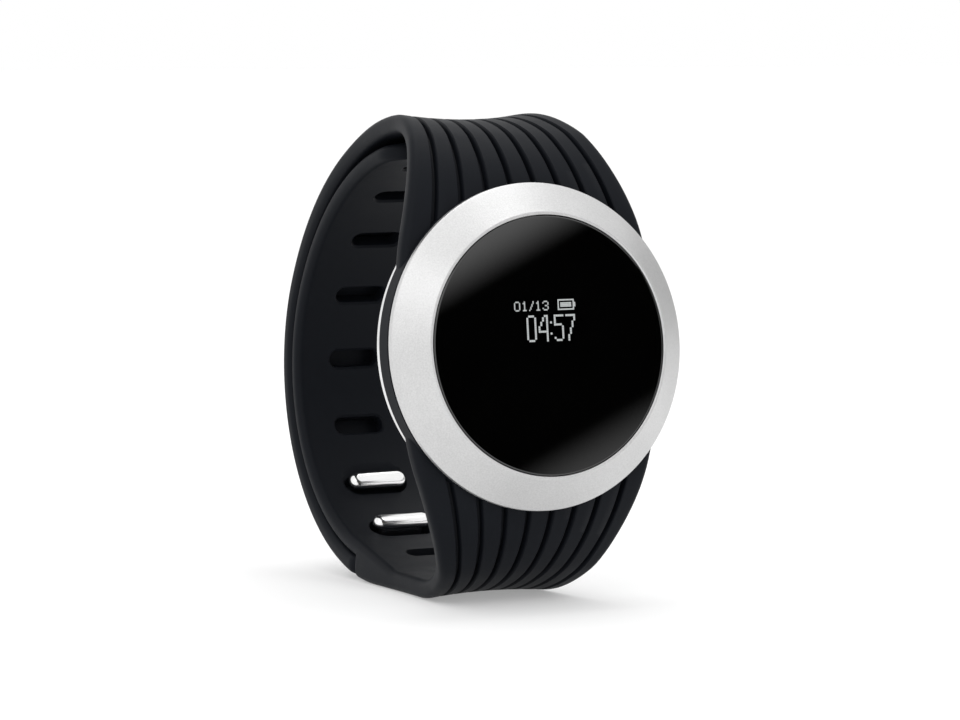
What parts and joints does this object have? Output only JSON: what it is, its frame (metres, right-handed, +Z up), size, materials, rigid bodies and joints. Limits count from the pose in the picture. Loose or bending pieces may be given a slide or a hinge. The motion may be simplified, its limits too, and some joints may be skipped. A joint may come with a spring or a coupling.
{
  "type": "fitness tracker band",
  "caption": "Round wrist tracker with a wide silver bezel over dark glass, held in a ribbed black silicone strap that closes with chrome studs in slots.",
  "frame": {"origin": "middle of the band's bounding box, on the flat underside of the lower strap that it stands on", "axes": "+Z up, -Y out of the face (which leans back 6 degrees), +X across the strap"},
  "size_m": [0.038, 0.0574, 0.0572],
  "materials": {
    "silver_aluminium": "bead blasted, silver anodised",
    "front_glass": "polished, smoked",
    "seal_rubber": "matt",
    "black_plastic": "fine texture",
    "gold_contact": "polished",
    "bright_steel": "satin",
    "display": "gloss",
    "copper_foil": "satin",
    "circuit_board": "solder mask",
    "chip_black": "moulded",
    "battery_wrap": "foil pouch",
    "motor_metal": "sintered",
    "strap_silicone": "soft matt",
    "clasp_steel": "satin",
    "clasp_chrome": "mirror polished"
  },
  "bodies": {
    "strap": {"upper_strap": "strap_silicone", "lower_strap": "strap_silicone", "strap_hoop": "strap_silicone"},
    "tail": {"strap_tail": "strap_silicone", "clasp_plate": "clasp_steel", "clasp_studs": "clasp_chrome"},
    "module": {"bezel": "silver_aluminium", "lens": "front_glass", "lens_gasket": "seal_rubber", "module_housing": "black_plastic", "rear_ring": "silver_aluminium", "rear_cover": "black_plastic", "rear_seal": "seal_rubber", "charge_pins": "gold_contact", "rear_screws": "bright_steel", "display_carrier": "black_plastic", "display_panel": "display", "touch_pad": "copper_foil", "main_board": "circuit_board", "board_chips": "chip_black", "antenna": "gold_contact", "display_flex": "copper_foil", "battery": "battery_wrap", "battery_pad": "seal_rubber", "motor_case": "bright_steel"},
    "motor_rotor": {"motor_weight": "motor_metal"}
  },
  "joints": [
    {"name": "clasp_pull", "type": "slide", "parent": "strap", "child": "tail", "axis": [0, 0.5534, -0.8329], "range_m": [0, 0.008]},
    {"name": "module_release", "type": "slide", "parent": "strap", "child": "module", "axis": [0, -0.9945, 0.1045], "range_m": [0, 0.009], "deforming": ["strap_hoop"]},
    {"name": "motor_spin", "type": "hinge", "parent": "module", "child": "motor_rotor", "pos_m": [0.0106, -0.01923, 0.02998], "axis": [0, -0.9945, 0.1045], "continuous": true}
  ]
}
